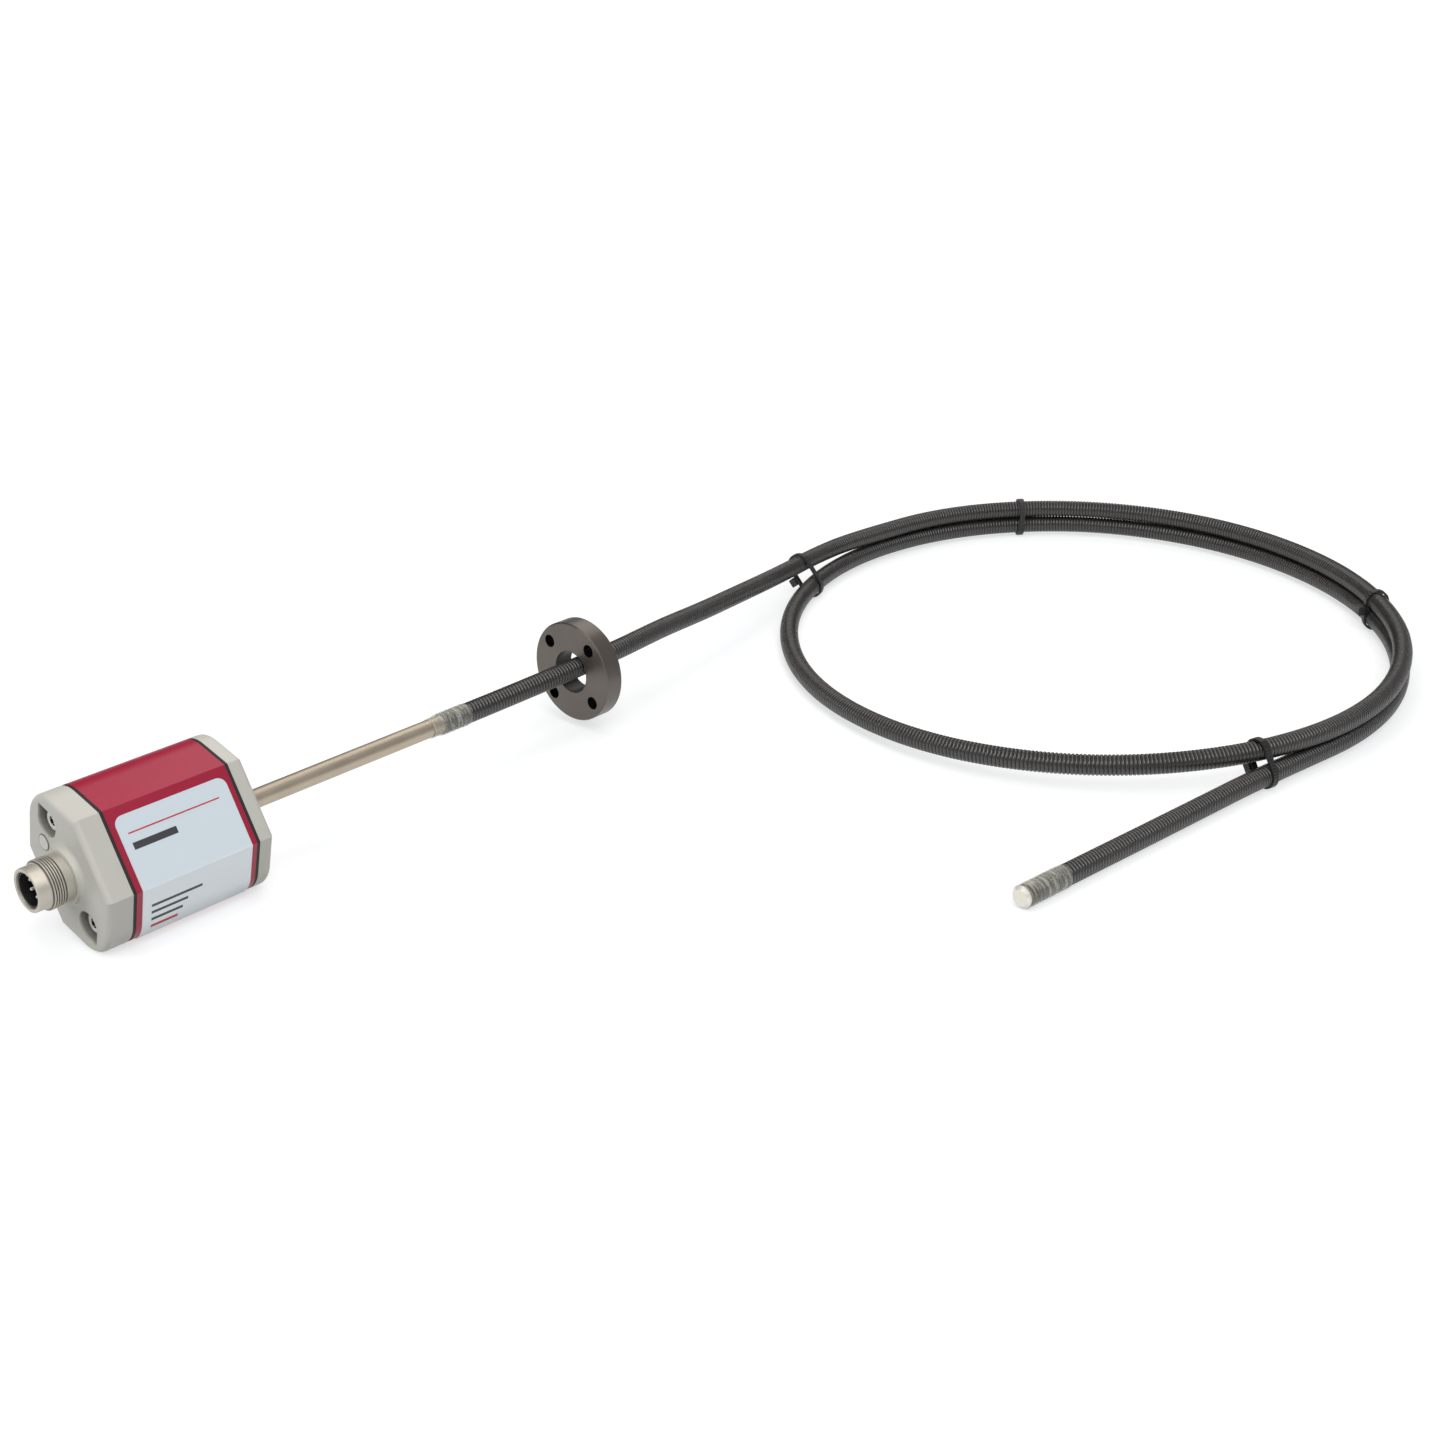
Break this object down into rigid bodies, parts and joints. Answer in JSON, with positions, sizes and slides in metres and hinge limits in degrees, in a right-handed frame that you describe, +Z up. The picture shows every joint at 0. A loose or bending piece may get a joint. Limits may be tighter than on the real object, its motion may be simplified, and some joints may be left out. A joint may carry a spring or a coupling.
{
  "type": "magnetostrictive position sensor",
  "caption": "Linear position sensor: six-sided electronics head with round connector, short rigid rod, long flexible measuring hose tied in a coil, and a ring magnet that slides along it.",
  "frame": {"origin": "centre of the rear cover's rear face, on the rod's axis", "axes": "+X along the rod from the head towards the hose, +Z up from the floor that the coil lies on, +Y to the coil's far side"},
  "size_m": [0.5544, 0.2612, 0.0469],
  "materials": {
    "cap_grey": "satin",
    "shell_red": "satin",
    "gasket_black": "matt",
    "label_white": "satin",
    "connector_metal": "satin",
    "insert_black": "matt",
    "pin_bright": "bright",
    "screw_steel": "satin",
    "lens_clear": "gloss",
    "board_green": "satin",
    "chip_black": "matt",
    "spacer_brass": "bright",
    "carrier_plastic": "matt",
    "bobbin_plastic": "matt",
    "winding_copper": "satin",
    "magnet_dark": "matt",
    "ribbon_amber": "satin",
    "wire_steel": "satin",
    "guide_white": "matt",
    "rod_steel": "satin",
    "sleeve_clear": "clear",
    "hose_black": "satin",
    "tie_black": "satin",
    "tip_metal": "bright",
    "seal_black": "matt"
  },
  "bodies": {
    "sensor": {"front_cover": "cap_grey", "rear_cover": "cap_grey", "housing_shell": "shell_red", "front_gasket": "gasket_black", "rear_gasket": "gasket_black", "label_wrap": "label_white", "cover_screws": "screw_steel", "status_lens": "lens_clear", "connector_shell": "connector_metal", "connector_insert": "insert_black", "connector_pins": "pin_bright", "connector_seal": "seal_black", "connector_lock_nut": "spacer_brass", "main_board": "board_green", "interface_board": "board_green", "board_spacers": "spacer_brass", "board_parts": "chip_black", "board_header": "chip_black", "signal_ribbon": "ribbon_amber", "pickup_carrier": "carrier_plastic", "pickup_bobbin": "bobbin_plastic", "pickup_coil": "winding_copper", "bias_magnet": "magnet_dark", "waveguide_damper": "seal_black", "waveguide_wire": "wire_steel", "waveguide_sleeve": "guide_white", "return_wire": "winding_copper", "rod": "rod_steel", "rod_clamp_ring": "spacer_brass", "rod_seal": "seal_black", "rod_sleeve": "sleeve_clear", "hose_lead": "hose_black", "hose_coil": "hose_black", "hose_tail": "hose_black", "tip_plug": "tip_metal", "tip_sleeve": "sleeve_clear", "tie_left": "tie_black", "tie_back": "tie_black", "tie_right": "tie_black", "tie_front": "tie_black"},
    "ring_magnet": {"position_magnet": "magnet_dark"}
  },
  "joints": [
    {"name": "magnet_slide", "type": "slide", "parent": "sensor", "child": "ring_magnet", "axis": [1, 0, 0], "range_m": [-0.1436, 0.031]}
  ]
}
